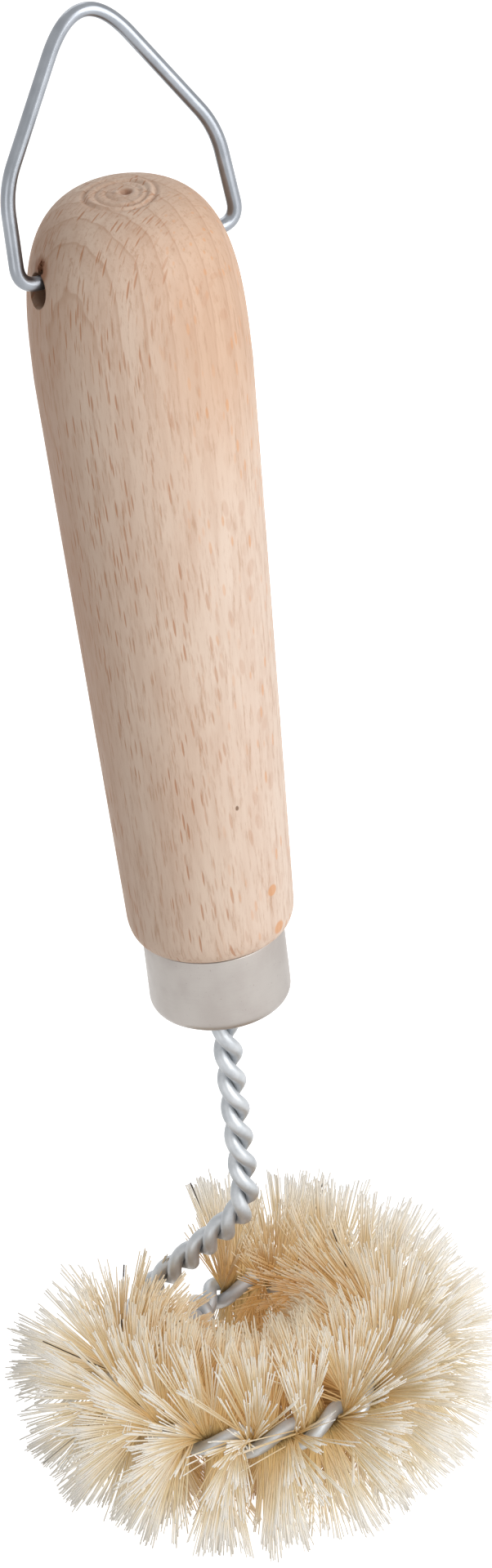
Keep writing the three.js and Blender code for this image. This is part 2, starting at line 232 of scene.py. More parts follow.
def cross_drill():
    """The drill's path across the handle, flared a little at both mouths."""
    drill = bmesh.new()
    outer = WIDEST_RADIUS + LOOP_HOLE_RADIUS
    flared = LOOP_HOLE_RADIUS + MOUTH_FLARE
    steps = [(-outer, flared), (-MOUTH_FROM_AXIS, flared), (MOUTH_RUN - MOUTH_FROM_AXIS, LOOP_HOLE_RADIUS)]
    steps += [(-across, radius) for across, radius in reversed(steps)]
    rings = []
    for across, radius in steps:
        ring = []
        for turn in np.linspace(0, 2 * math.pi, LOOP_HOLE_SIDES, endpoint=False):
            y = AXIS_Y + radius * math.cos(turn)
            z = LOOP_HOLE_Z + radius * math.sin(turn)
            ring.append(drill.verts.new(((AXIS_X + across) * MM, y * MM, z * MM)))
        rings.append(ring)
    for near, far in zip(rings, rings[1:]):
        for step in range(LOOP_HOLE_SIDES):
            after = (step + 1) % LOOP_HOLE_SIDES
            drill.faces.new((near[step], near[after], far[after], far[step]))
    drill.faces.new(rings[0])
    drill.faces.new(rings[-1])
    return shaped_piece("cross_drill", drill)


def torn_fibres():
    """The ragged hollow that the drill tore out above the left mouth."""
    hollow = bmesh.new()
    bmesh.ops.create_icosphere(hollow, subdivisions=TEAR_FINENESS, radius=1)
    for vertex in hollow.verts:
        ragged = 1 + sum(share * noise.noise(vertex.co * waves) for share, waves in TEAR_RAGGED)
        size = [part * side * ragged for part, side in zip(vertex.co, TEAR_SIZE)]
        vertex.co = (Vector(size) + Vector(TEAR_CENTRE)) * MM
    return shaped_piece("torn_fibres", hollow)


handle = turned_piece("beech_handle", handle_profile(), HANDLE_SEGMENTS)
mark_crown(handle.data)
cut_away(handle, cross_drill())
cut_away(handle, torn_fibres())
smooth(handle, SHARP_FROM)


def add(tree, kind, inputs=(), **settings):
    """A new node. Each input is a value or another node's socket, by the input's name or number."""
    node = tree.nodes.new(kind)
    for name, value in settings.items():
        setattr(node, name, value)
    for name, value in dict(inputs).items():
        if isinstance(value, bpy.types.NodeSocket):
            tree.links.new(value, node.inputs[name])
        else:
            node.inputs[name].default_value = value
    return node


def reckon(tree, operation, *values):
    """The result of a sum on numbers."""
    return add(tree, "ShaderNodeMath", enumerate(values), operation=operation).outputs[0]


def product(tree, value, *others):
    """Numbers multiplied together."""
    for other in others:
        value = reckon(tree, "MULTIPLY", value, other)
    return value


def reckon_vector(tree, operation, *values):
    """The result of a sum on vectors."""
    node = add(tree, "ShaderNodeVectorMath", enumerate(values), operation=operation)
    return node.outputs["Value" if operation in ("LENGTH", "DOT_PRODUCT", "DISTANCE") else "Vector"]


def span(tree, value, low, high, to_low=0.0, to_high=1.0):
    """The value carried smoothly from one span of numbers to another, and held at its ends."""
    inputs = {"Value": value, "From Min": low, "From Max": high, "To Min": to_low, "To Max": to_high}
    return add(tree, "ShaderNodeMapRange", inputs, interpolation_type="SMOOTHSTEP").outputs[0]


def place_in_mm(tree):
    """Where a point of the piece is, in millimetres."""
    place = add(tree, "ShaderNodeTexCoord").outputs["Object"]
    return reckon_vector(tree, "MULTIPLY", place, (1 / MM, 1 / MM, 1 / MM))


def from_line(tree, place, start, across):
    """Distance from a line through a point. Across is 1 on the two axes that the line is square to."""
    away = reckon_vector(tree, "SUBTRACT", place, start)
    return reckon_vector(tree, "LENGTH", reckon_vector(tree, "MULTIPLY", away, across))


def patch(tree, place, middle, outer, inner, share):
    """A soft round patch about a point. Its share grows from the outer distance to the inner one."""
    return span(tree, reckon_vector(tree, "DISTANCE", place, middle), outer, inner, 0, share)


def paint(red, green, blue):
    """A colour as a screen shows it, 0 to 255, as the linear colour that a shader takes."""
    return (*Color((red / 255, green / 255, blue / 255)).from_srgb_to_scene_linear(), 1)


def mix_colours(tree, share, first, second):
    """That share of the second colour over the first."""
    mix = add(tree, "ShaderNodeMix", {0: share, 6: first, 7: second}, data_type="RGBA")
    return mix.outputs[2]


def grain(tree, place, waves, detail, roughness=0.5):
    """Noise with its own fineness along each axis, in waves per millimetre."""
    stretched = reckon_vector(tree, "MULTIPLY", place, waves)
    inputs = {"Vector": stretched, "Scale": 1, "Detail": detail, "Roughness": roughness}
    return add(tree, "ShaderNodeTexNoise", inputs).outputs["Fac"]


def emboss(tree, shader, height, strength, depth):
    """Fine relief, of that depth, on what the shader shows."""
    bump = add(tree, "ShaderNodeBump", {"Height": height, "Strength": strength, "Distance": depth * MM})
    tree.links.new(bump.outputs["Normal"], shader.inputs["Normal"])


def new_material(name):
    """A material with its node tree and its shader."""
    material = bpy.data.materials.new(name)
    material.use_nodes = True
    return material, material.node_tree, material.node_tree.nodes["Principled BSDF"]


# Bare beech: pale pinkish buff. The yearly rings, about a heart outside the blank, show on the dome, where
# the lathe has cut across them. The wood's rays are short brown dashes in front and orange patches on the
# right. Numbers in brackets that go to span are: from, to, and what it gives at each, or else 0 and 1.
BEECH_PALE = paint(223, 202, 184)
BEECH_ROSE = paint(212, 184, 163)
BEECH_WARM = paint(207, 172, 145)
# Painted sheen: a paler, cooler tone for the lit right side below the dome.
BEECH_SHEEN = paint(221, 203, 189)
# Painted shade: a browner, darker tone for the left side of the handle, which faces away from the key lamp.
BEECH_LEFT_SHADE = paint(184, 146, 122)
BEECH_LATE = paint(184, 146, 120)
BEECH_RAY = paint(178, 120, 82)
BEECH_RAY_WARM = paint(212, 152, 104)
BEECH_HOLLOW_BROWN = paint(150, 98, 66)
# Dark brown for the pin knot, and painted shade for the inside of the cross hole.
BEECH_KNOT_AND_HOLE_SHADE = paint(112, 78, 54)
BEECH_ROUGHNESS = (0.3, 0.7, 0.52, 0.68)
BEECH_SHINE = 0.3
ROUND_X = (0, 1, 1)
ROUND_Z = (1, 1, 0)
BROAD_WAVES = (0.09, 0.09, 0.03)
BROAD_PALE = (0.3, 0.7, 0, 1)
BROAD_WARM = (0.4, 0.66, 0, 0.14)
STREAK_WAVES = (0.5, 0.5, 0.07)
STREAK_SHARE = (0.4, 0.75, 0, 0.26)
FIBRE_WAVES = (1.5, 1.5, 0.15)
FIBRE_SHARE = (0.48, 0.76, 0, 0.78)
FIBRE_MEAN = 0.5
FIBRE_RELIEF = 0.12
FIBRE_STRENGTH = 0.4
HEART_TURN = -152
HEART_DISTANCE = 30
YEAR_WIDTH = 3.4
YEAR_WAVES = (0.13, 0.13, 0.05)
YEAR_WANDER = 0.9
LATE_GROWTH = (0.2, 0.9, 0, 0.4)
LATE_LINE = (0.84, 0.94, 0, 0.6)
LATE_STOP = (1.0, 0.96, 0, 1)
LATE_HEIGHT = (190, 208, 0.03, 0.5)
RIGHT = (0.87, -0.5, 0)
RIGHT_SIDE = (1, 14, 0, 1)
LEFT_SIDE = (-4, -16, 0, 1)
WARM_HEIGHT = (165, 203, 0, 0.7)
SHEEN_HEIGHT = (200, 155, 0, 0.55)
LEFT_SHADE_HEIGHT = (110, 160, 0.42, 0.78)
DASH_CELL = (4, 0.5, 6)
DASH_EDGE = (0.33, 0.2)
DASH_SIDE = (0, 1, 0.7, 0.2)
DASH_DEPTH = 0.8
FLECK_CELL = (3, 0.36, 4.5)
FLECK_EDGE = (0.36, 0.2)
FLECK_SHIFT = (50, 20, 10)
FLECK_SHARE = 0.5
SPOT_CELL = (1.3, 0.7, 4.6)
SPOT_EDGE = (0.3, 0.18)
SPOT_SHARE = 0.55
MARK_STRENGTH = (0.1, 0.8)
RAY_PATCHES = [((7.43, -10.26, 106.44), 1.1), ((7.9, -9.1, 99.3), 1.4)]
RAY_PATCH_CORE = 0.7
RAY_PATCH_SHARE = 0.75
PIN_KNOT = (2.61, -12.15, 123.48)
PIN_KNOT_RAGGED = 1.6
PIN_KNOT_SHARE = (0.5, 0.2, 0, 0.85)
TEAR_DARKENING = (2.6, 1.4, 0.85)
DRILL_HOLE_SHADE = (2.9, 2.45, 0, 0.9)
DIMPLE_DARKENING = (1.4, 0.7, 0.6)


def ray_marks(tree, place, cell, edge):
    """Scattered lens shapes, one to a cell of that size. Their edges are soft, and some are faint."""
    stretched = reckon_vector(tree, "MULTIPLY", place, tuple(1 / side for side in cell))
    marks = add(tree, "ShaderNodeTexVoronoi", {"Vector": stretched, "Scale": 1, "Randomness": 1})
    strength = add(tree, "ShaderNodeSeparateColor", {"Color": marks.outputs["Color"]}).outputs["Red"]
    return product(tree, span(tree, marks.outputs["Distance"], *edge), span(tree, strength, *MARK_STRENGTH))


beech, tree, shader = new_material("bare_beech")
place = place_in_mm(tree)
height = add(tree, "ShaderNodeSeparateXYZ", {0: place}).outputs["Z"]
rightward = reckon_vector(tree, "DOT_PRODUCT", place, RIGHT)
right_side = span(tree, rightward, *RIGHT_SIDE)
left_side = span(tree, rightward, *LEFT_SIDE)
centred = add(tree, "ShaderNodeMapping", {"Vector": place, "Location": (-AXIS_X, -AXIS_Y, 0)})
sawn = add(tree, "ShaderNodeVectorRotate", {
    "Vector": centred.outputs["Vector"], "Axis": (0, 0, 1), "Angle": math.radians(-HEART_TURN),
}).outputs["Vector"]
broad = grain(tree, sawn, BROAD_WAVES, detail=2)
streak = grain(tree, sawn, STREAK_WAVES, detail=3)
fibre = grain(tree, sawn, FIBRE_WAVES, detail=4, roughness=0.75)

years = reckon(tree, "DIVIDE", from_line(tree, sawn, (HEART_DISTANCE, 0, 0), ROUND_Z), YEAR_WIDTH)
wander = product(tree, grain(tree, sawn, YEAR_WAVES, detail=3, roughness=0.6), YEAR_WANDER)
year = reckon(tree, "FRACT", reckon(tree, "ADD", years, wander))
late = reckon(tree, "ADD", span(tree, year, *LATE_GROWTH), span(tree, year, *LATE_LINE))
late = product(tree, late, span(tree, year, *LATE_STOP), span(tree, height, *LATE_HEIGHT))

fleck = ray_marks(tree, reckon_vector(tree, "ADD", sawn, FLECK_SHIFT), FLECK_CELL, FLECK_EDGE)
dash = ray_marks(tree, sawn, DASH_CELL, DASH_EDGE)
dash = reckon(tree, "MAXIMUM", dash, product(tree, fleck, FLECK_SHARE))
dash = product(tree, dash, span(tree, right_side, *DASH_SIDE))
spot = product(tree, ray_marks(tree, sawn, SPOT_CELL, SPOT_EDGE), right_side, SPOT_SHARE)

warm_dome = product(tree, right_side, span(tree, height, *WARM_HEIGHT))
warm = reckon(tree, "ADD", span(tree, broad, *BROAD_WARM), warm_dome)
# Painted sheen: the right side below the dome, where the key lamp falls, is paled and cooled.
painted_sheen = product(tree, right_side, span(tree, height, *SHEEN_HEIGHT))
# Painted shade: the left side of the body and dome is browned and darkened, where the handle turns away from
# the key lamp.
left_shade = product(tree, left_side, span(tree, height, *LEFT_SHADE_HEIGHT))
colour = mix_colours(tree, span(tree, broad, *BROAD_PALE), BEECH_ROSE, BEECH_PALE)
colour = mix_colours(tree, warm, colour, BEECH_WARM)
colour = mix_colours(tree, painted_sheen, colour, BEECH_SHEEN)
colour = mix_colours(tree, left_shade, colour, BEECH_LEFT_SHADE)
colour = mix_colours(tree, late, colour, BEECH_LATE)
colour = mix_colours(tree, span(tree, streak, *STREAK_SHARE), colour, BEECH_LATE)
colour = mix_colours(tree, span(tree, fibre, *FIBRE_SHARE), colour, BEECH_LATE)
colour = mix_colours(tree, dash, colour, BEECH_RAY)
colour = mix_colours(tree, spot, colour, BEECH_RAY_WARM)
for middle, reach in RAY_PATCHES:
    ray = patch(tree, place, middle, reach, reach * RAY_PATCH_CORE, RAY_PATCH_SHARE)
    colour = mix_colours(tree, ray, colour, BEECH_RAY_WARM)
ragged = product(tree, reckon(tree, "SUBTRACT", fibre, FIBRE_MEAN), PIN_KNOT_RAGGED)
from_knot = reckon(tree, "ADD", reckon_vector(tree, "DISTANCE", place, PIN_KNOT), ragged)
colour = mix_colours(tree, span(tree, from_knot, *PIN_KNOT_SHARE), colour, BEECH_KNOT_AND_HOLE_SHADE)
# Darker brown over the torn hollow.
colour = mix_colours(tree, patch(tree, place, TEAR_CENTRE, *TEAR_DARKENING), colour, BEECH_HOLLOW_BROWN)
# Painted shade: the inside of the cross hole and a rim round its mouths are painted dark brown.
from_drill = from_line(tree, place, (AXIS_X, AXIS_Y, LOOP_HOLE_Z), ROUND_X)
colour = mix_colours(tree, span(tree, from_drill, *DRILL_HOLE_SHADE), colour, BEECH_KNOT_AND_HOLE_SHADE)
# Darker brown in the dimple at the crown.
colour = mix_colours(tree, patch(tree, place, DIMPLE, *DIMPLE_DARKENING), colour, BEECH_HOLLOW_BROWN)
tree.links.new(colour, shader.inputs["Base Color"])
tree.links.new(span(tree, fibre, *BEECH_ROUGHNESS), shader.inputs["Roughness"])
shader.inputs["Specular IOR Level"].default_value = BEECH_SHINE
relief = reckon(tree, "SUBTRACT", fibre, product(tree, dash, DASH_DEPTH))
emboss(tree, shader, relief, FIBRE_STRENGTH, FIBRE_RELIEF)
handle.data.materials.clear()
handle.data.materials.append(beech)
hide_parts("handle")
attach(handle, "brush")


# Ferrule: a thin cup of tinned sheet, pressed over the end of the handle. Its lower edge is drawn round, and
# the stem comes out through a hole in its floor.
FERRULE_RADIUS = 10.8
FERRULE_RIM_Z = 96.2
FERRULE_Z = 83.2
FERRULE_WALL = 0.6
FERRULE_CORNER = 2.1
FERRULE_RIM_ROUND = 0.22
FERRULE_SEGMENTS = 128
CORNER_ROWS = 14
WALL_ROWS = 8
RIM_ROWS = 9
INNER_CORNER_ROWS = 10
TIN_PALE = paint(174, 168, 163)
TIN_DULL = paint(168, 161, 156)
TIN_RUBBED = paint(156, 149, 144)
TIN_SPECK = paint(126, 116, 108)
TIN_METALLIC = 0.85
TIN_CLOUD_WAVES = (0.16, 0.16, 0.12)
TIN_CLOUD = (0.3, 0.7)
TIN_ROUGHNESS = (0.3, 0.7, 0.36, 0.5)
TIN_RUB_WAVES = (0.26, 0.26, 5.2)
TIN_RUB_SHARE = (0.4, 0.8, 0, 0.12)
TIN_SPECK_WAVES = (2.4, 2.4, 2.4)
TIN_SPECK_SHARE = (0.68, 0.8, 0, 0.5)


def ferrule_profile():
    """Radius and height from the stem's hole, round the outside and over the rim, back to the hole."""
    points = [(STEM_BORE_RADIUS, FERRULE_Z)]
    for turn in np.linspace(0, math.pi / 2, CORNER_ROWS):
        out = FERRULE_RADIUS - FERRULE_CORNER * (1 - math.sin(turn))
        points.append((out, FERRULE_Z + FERRULE_CORNER * (1 - math.cos(turn))))
    for height in np.linspace(FERRULE_Z + FERRULE_CORNER, FERRULE_RIM_Z - FERRULE_RIM_ROUND, WALL_ROWS)[1:]:
        points.append((FERRULE_RADIUS, height))
    for turn in np.linspace(0, math.pi, RIM_ROWS)[1:]:
        out = FERRULE_RADIUS - FERRULE_WALL / 2 * (1 - math.cos(turn))
        points.append((out, FERRULE_RIM_Z - FERRULE_RIM_ROUND * (1 - math.sin(turn))))
    inner_corner = FERRULE_CORNER - FERRULE_WALL
    for turn in np.linspace(math.pi / 2, 0, INNER_CORNER_ROWS):
        out = FERRULE_RADIUS - FERRULE_WALL - inner_corner * (1 - math.sin(turn))
        points.append((out, FERRULE_Z + FERRULE_WALL + inner_corner * (1 - math.cos(turn))))
    points.append((STEM_BORE_RADIUS, FERRULE_Z + FERRULE_WALL))
    points.append((STEM_BORE_RADIUS, FERRULE_Z))
    return points


ferrule = turned_piece("tin_ferrule", ferrule_profile(), FERRULE_SEGMENTS)
smooth(ferrule, SHARP_FROM)

tinplate, tree, shader = new_material("satin_tinplate")
place = place_in_mm(tree)
cloud = grain(tree, place, TIN_CLOUD_WAVES, detail=4)
rubbed = grain(tree, place, TIN_RUB_WAVES, detail=3, roughness=0.6)
speck = grain(tree, place, TIN_SPECK_WAVES, detail=2)
colour = mix_colours(tree, span(tree, cloud, *TIN_CLOUD), TIN_PALE, TIN_DULL)
colour = mix_colours(tree, span(tree, rubbed, *TIN_RUB_SHARE), colour, TIN_RUBBED)
colour = mix_colours(tree, span(tree, speck, *TIN_SPECK_SHARE), colour, TIN_SPECK)
tree.links.new(colour, shader.inputs["Base Color"])
tree.links.new(span(tree, cloud, *TIN_ROUGHNESS), shader.inputs["Roughness"])
shader.inputs["Metallic"].default_value = TIN_METALLIC
ferrule.data.materials.append(tinplate)
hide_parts("ferrule")
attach(ferrule, "brush")


# Stem: two galvanised wires twisted together, pushed up into the handle. Below the ferrule the stem bends
# and winds once round into a ring, and there the wires twist more slowly and open to grip the bristles.
STEM_TOP_Z = 121.5
STEM_WIRE_RADIUS = 1.12
STEM_WIRE_SIDES = 16
STEM_WIRE_STEP = 0.22
STEM_PAIR_RADIUS = 1.13
RING_PAIR_RADIUS = 1.55
STEM_PITCH = 10.4
FILL_PITCH = 15.6
TWIST_START = 160
RING_RADIUS = 21.25
RING_Z = 16.0
RING_CENTRE_Y = 1.4
RING_POINTS = 800
BEND_Z = 44.6
BEND_CUT = 5.0
BEND_POINTS = 60
JOIN_ANGLE = 143
JOIN_RUN = 9.0
JOIN_RISE = 2.4
JOIN_SPAN = 50
RING_END = 459
TAIL_INSET = 6.0
TAIL_PITCH = 8.0
FILL_END = 440
FILL_LEAD = 1.5
OPENING_RUN = 3.0
LINE_STEP = 0.1
WIRE_SHARP_FROM = 60
ZINC_PALE = paint(196, 199, 202)
ZINC_DULL = paint(180, 184, 188)
ZINC_DRAWN = paint(160, 164, 168)
ZINC_METALLIC = 0.65
ZINC_CLOUD_WAVES = (0.42, 0.42, 0.42)
ZINC_CLOUD = (0.3, 0.7)
ZINC_ROUGHNESS = (0.3, 0.7, 0.44, 0.54)
ZINC_DRAWN_WAVES = (3.8, 3.8, 3.8)
ZINC_DRAWN_SHARE = (0.55, 0.8, 0, 0.3)
ZINC_RELIEF = 0.06
ZINC_STRENGTH = 0.15


def rounded_path(start, corners, end):
    """Points along straight runs with curved corners, each given by its point and its length each way."""
    points = [np.array(start, float)]
    stops = [np.array(corner, float) for corner, cut in corners] + [np.array(end, float)]
    for (_, cut), corner, after in zip(corners, stops, stops[1:]):
        into = corner + (points[-1] - corner) / np.linalg.norm(points[-1] - corner) * cut
        out = corner + (after - corner) / np.linalg.norm(after - corner) * cut
        for share in np.linspace(0, 1, BEND_POINTS):
            points.append(into * (1 - share) ** 2 + 2 * corner * share * (1 - share) + out * share**2)
    points.append(stops[-1])
    return np.array(points)


def ring_point(angle):
    """A place on the ring's middle line, which comes down a little at its start and curls in at its tail."""
    settled = min((angle - JOIN_ANGLE) / JOIN_SPAN, 1)
    tail = max((angle - FILL_END) / (RING_END - FILL_END), 0)
    turn = math.radians(angle)
    radius = RING_RADIUS - TAIL_INSET * tail**2
    rise = JOIN_RISE * (1 - settled) ** 2
    return np.array([radius * math.cos(turn), RING_CENTRE_Y + radius * math.sin(turn), RING_Z + rise])


def even_steps(points, step):
    """The same line with its points a step apart, and each point's distance along it."""
    along = np.concatenate([[0], np.cumsum(np.linalg.norm(np.diff(points, axis=0), axis=1))])
    distance = np.linspace(0, along[-1], int(along[-1] / step) + 1)
    return np.stack([np.interp(distance, along, points[:, axis]) for axis in range(3)], axis=1), distance


def carry_normals(line, first):
    """The line's tangents, and a direction square to it, carried along it without turning about it."""
    tangents = np.gradient(line, axis=0)
    tangents /= np.linalg.norm(tangents, axis=1)[:, None]
    normals = [np.array(first, float)]
    for tangent in tangents[1:]:
        normal = normals[-1] - tangent * normals[-1].dot(tangent)
        normals.append(normal / np.linalg.norm(normal))
    return tangents, np.array(normals)


ring_start = ring_point(JOIN_ANGLE)
fall = 2 * JOIN_RISE / (RING_RADIUS * math.radians(JOIN_SPAN))
join_turn = math.radians(JOIN_ANGLE)
join_along = np.array([-math.sin(join_turn), math.cos(join_turn), -fall])
join_corner = ring_start - join_along / np.linalg.norm(join_along) * JOIN_RUN
stem_path = rounded_path(
    (AXIS_X, AXIS_Y, STEM_TOP_Z),
    [((AXIS_X, AXIS_Y, BEND_Z), BEND_CUT), (join_corner, JOIN_RUN)],
    ring_start,
)
ring_path = np.array([ring_point(angle) for angle in np.linspace(JOIN_ANGLE, RING_END, RING_POINTS)])
ring_begin = np.linalg.norm(np.diff(stem_path, axis=0), axis=1).sum()
fill_begin = ring_begin - FILL_LEAD
fill_finish = ring_begin + RING_RADIUS * math.radians(FILL_END - JOIN_ANGLE)
stem_line, stem_along = even_steps(np.concatenate([stem_path, ring_path[1:]]), LINE_STEP)
stem_tangents, stem_normals = carry_normals(stem_line, (0, -1, 0))
stem_binormals = np.cross(stem_tangents, stem_normals)
entering = (stem_along - fill_begin) / OPENING_RUN + 1
leaving = (fill_finish - stem_along) / OPENING_RUN + 1
opened = np.clip(np.minimum(entering, leaving), 0, 1)
bare_turns = np.where(stem_along < fill_finish, 1 / STEM_PITCH, 1 / TAIL_PITCH)
turns = bare_turns + (1 / FILL_PITCH - bare_turns) * opened
turned = np.concatenate([[0], np.cumsum(turns[1:] * np.diff(stem_along))])
twist = math.radians(TWIST_START) - 2 * math.pi * turned
toward_wire = stem_normals * np.cos(twist)[:, None] + stem_binormals * np.sin(twist)[:, None]
toward_hair = -stem_normals * np.sin(twist)[:, None] + stem_binormals * np.cos(twist)[:, None]
pair_radius = STEM_PAIR_RADIUS + (RING_PAIR_RADIUS - STEM_PAIR_RADIUS) * opened


def line_piece(name, points, vectors=()):
    """A line of points as an object of edges, with named vectors on its points."""
    mesh = bpy.data.meshes.new(name)
    edges = [(step, step + 1) for step in range(len(points) - 1)]
    mesh.from_pydata([tuple(point) for point in points * MM], edges, [])
    for title, values in dict(vectors).items():
        layer = mesh.attributes.new(title, "FLOAT_VECTOR", "POINT")
        layer.data.foreach_set("vector", np.ascontiguousarray(values, np.float32).ravel())
    piece = bpy.data.objects.new(name, mesh)
    scene.collection.objects.link(piece)
    return piece


def new_tree(name, inputs):
    """A Geometry Nodes tree with these named inputs, given with their kind of socket, and its two ends."""
    tree = bpy.data.node_groups.new(name, "GeometryNodeTree")
    tree.interface.new_socket("Geometry", in_out="INPUT", socket_type="NodeSocketGeometry")
    tree.interface.new_socket("Geometry", in_out="OUTPUT", socket_type="NodeSocketGeometry")
    for title, kind in inputs.items():
        tree.interface.new_socket(title, in_out="INPUT", socket_type=kind)
    return tree, add(tree, "NodeGroupInput").outputs, add(tree, "NodeGroupOutput").inputs["Geometry"]


def run_tree(piece, tree, settings):
    """Runs the tree on the piece with these settings, and leaves the result as the piece's own mesh."""
    modifier = piece.modifiers.new(tree.name, "NODES")
    modifier.node_group = tree
    for socket in tree.interface.items_tree:
        if socket.in_out == "INPUT" and socket.name in settings:
            modifier[socket.identifier] = settings[socket.name]
    settle(piece)


galvanised, tree, shader = new_material("galvanised_wire")
place = place_in_mm(tree)
cloud = grain(tree, place, ZINC_CLOUD_WAVES, detail=4, roughness=0.6)
drawn = grain(tree, place, ZINC_DRAWN_WAVES, detail=3, roughness=0.6)
colour = mix_colours(tree, span(tree, cloud, *ZINC_CLOUD), ZINC_PALE, ZINC_DULL)
colour = mix_colours(tree, span(tree, drawn, *ZINC_DRAWN_SHARE), colour, ZINC_DRAWN)
tree.links.new(colour, shader.inputs["Base Color"])
tree.links.new(span(tree, cloud, *ZINC_ROUGHNESS), shader.inputs["Roughness"])
shader.inputs["Metallic"].default_value = ZINC_METALLIC
emboss(tree, shader, drawn, ZINC_STRENGTH, ZINC_RELIEF)

wire_tree, given, result = new_tree("drawn_wire", {
    "Radius": "NodeSocketFloat",
    "Sides": "NodeSocketInt",
    "Coating": "NodeSocketMaterial",
})
run = add(wire_tree, "GeometryNodeMeshToCurve", {"Mesh": given["Geometry"]})
section = add(wire_tree, "GeometryNodeCurvePrimitiveCircle", {
    "Resolution": given["Sides"], "Radius": given["Radius"],
})
tube = add(wire_tree, "GeometryNodeCurveToMesh", {
    "Curve": run.outputs["Curve"], "Profile Curve": section.outputs["Curve"], "Fill Caps": True,
})
rounded = add(wire_tree, "GeometryNodeSetShadeSmooth", {"Geometry": tube.outputs["Mesh"]})
whole = add(wire_tree, "GeometryNodeRealizeInstances", {"Geometry": rounded.outputs["Geometry"]})
coated = add(wire_tree, "GeometryNodeSetMaterial", {
    "Geometry": whole.outputs["Geometry"], "Material": given["Coating"],
})
wire_tree.links.new(coated.outputs["Geometry"], result)

for side, letter in ((1, "a"), (-1, "b")):
    wire_line = stem_line + toward_wire * (side * pair_radius)[:, None]
    wire = line_piece("twisted_wire_" + letter, even_steps(wire_line, STEM_WIRE_STEP)[0])
    run_tree(wire, wire_tree, {
        "Radius": STEM_WIRE_RADIUS * MM, "Sides": STEM_WIRE_SIDES, "Coating": galvanised,
    })
    smooth(wire, WIRE_SHARP_FROM)
    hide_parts("stem_wire_" + letter)
    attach(wire, "brush")


# Bristles: straight blond natural hair, laid between the two wires before they were twisted, so that it
# stands out in a screw of fans along the ring and is trimmed to one length. Hairs cling together in small
# wisps, some wisps stand loose, and a few hairs are brown or black.
HAIR_REACH = 17.2
HAIR_RADIUS = 0.122
HAIR_TAPER = 0.85
HAIR_SIDES = 5
HAIR_RUNS = 4
HAIRS_A_PIECE = 2500
HAIRS_A_WISP = 4
HAIR_QUARTERS = ["left", "front", "right", "back"]
HAIR_SPLAY = 0.26
HAIR_FRAY = 0.06
HAIR_BEND = 0.4
HAIR_FLOOR = 0.15
HAIR_SCATTER = 0.2
HAIR_SEED = 7
HAIR_SEED_STEP = 100
HAIR_DRAWS = [
    "side", "splay", "fray", "scatter", "thickness", "wisp length", "length", "tone", "wisp tone", "bend",
    "loose",
]
LOOSE_FROM = 0.95
LOOSE_SPLAY = 1.8
THICKNESS_SPREAD = (0.75, 1.2)
WISP_LENGTH_SPREAD = (0.9, 1.04)
LENGTH_SPREAD = (0.95, 1.0)
UPRIGHT_GAIN = 0.1
HAIR_ROOT = paint(217, 184, 120)
HAIR_PALE = paint(234, 227, 213)
HAIR_STRAW = paint(228, 214, 182)
# Pale hair ends; on the outer fringe this is also painted backlight shining through the tips.
HAIR_TIP = paint(244, 241, 236)
# Painted shade for the hair low in the ring's hollow.
HAIR_HOLLOW_SHADE = paint(198, 152, 84)
HAIR_DARK = paint(52, 40, 34)
HAIR_SHINE = 0.25
HAIR_ROUGHNESS = (0, 1, 0.42, 0.58)
WISP_STRAW = (0, 1)
GOLD_TONE = (0.5, 1, 0, 0.3)
GOLD_ROOT = (0.65, 0, 0, 0.9)
# Painted shade: hairs toward the ring's middle take the root's gold.
GOLD_INSIDE_SHADE = (32, 12, 0, 0.7)
PALE_END = (0.6, 1, 0, 0.8)
PALE_OUTSIDE_BACKLIGHT = (14, 32, 0.5, 1)
HOLLOW_SHADE_INSIDE = (23, 14)
HOLLOW_SHADE_LOW = (32, 20, 0, 0.8)
DARK_TONE = (0.9975, 0.998)

hair, tree, shader = new_material("natural_bristle")
tone = add(tree, "ShaderNodeAttribute", attribute_name="tone").outputs["Fac"]
wisp_tone = add(tree, "ShaderNodeAttribute", attribute_name="wisp_tone").outputs["Fac"]
grown = add(tree, "ShaderNodeAttribute", attribute_name="grown").outputs["Fac"]
place = place_in_mm(tree)
height = add(tree, "ShaderNodeSeparateXYZ", {0: place}).outputs["Z"]
from_axis = from_line(tree, place, (0, RING_CENTRE_Y, 0), ROUND_Z)
# Pale ends, stronger out on the fringe: partly the hair's own pale tips, partly painted backlight through
# the outer tips.
pale_end_and_backlight = product(tree, span(tree, grown, *PALE_END), span(tree, from_axis, *PALE_OUTSIDE_BACKLIGHT))
# Painted shade: hairs low inside the ring turn a darker gold, like the shade deep in the fill.
hollow_shade = product(tree, span(tree, from_axis, *HOLLOW_SHADE_INSIDE), span(tree, height, *HOLLOW_SHADE_LOW))
colour = mix_colours(tree, span(tree, wisp_tone, *WISP_STRAW), HAIR_PALE, HAIR_STRAW)
colour = mix_colours(tree, span(tree, tone, *GOLD_TONE), colour, HAIR_ROOT)
colour = mix_colours(tree, span(tree, grown, *GOLD_ROOT), colour, HAIR_ROOT)
# Painted shade: hairs toward the ring's middle are turned gold.
colour = mix_colours(tree, span(tree, from_axis, *GOLD_INSIDE_SHADE), colour, HAIR_ROOT)
colour = mix_colours(tree, pale_end_and_backlight, colour, HAIR_TIP)
colour = mix_colours(tree, hollow_shade, colour, HAIR_HOLLOW_SHADE)
colour = mix_colours(tree, span(tree, tone, *DARK_TONE), colour, HAIR_DARK)
tree.links.new(colour, shader.inputs["Base Color"])
tree.links.new(span(tree, tone, *HAIR_ROUGHNESS), shader.inputs["Roughness"])
shader.inputs["Specular IOR Level"].default_value = HAIR_SHINE

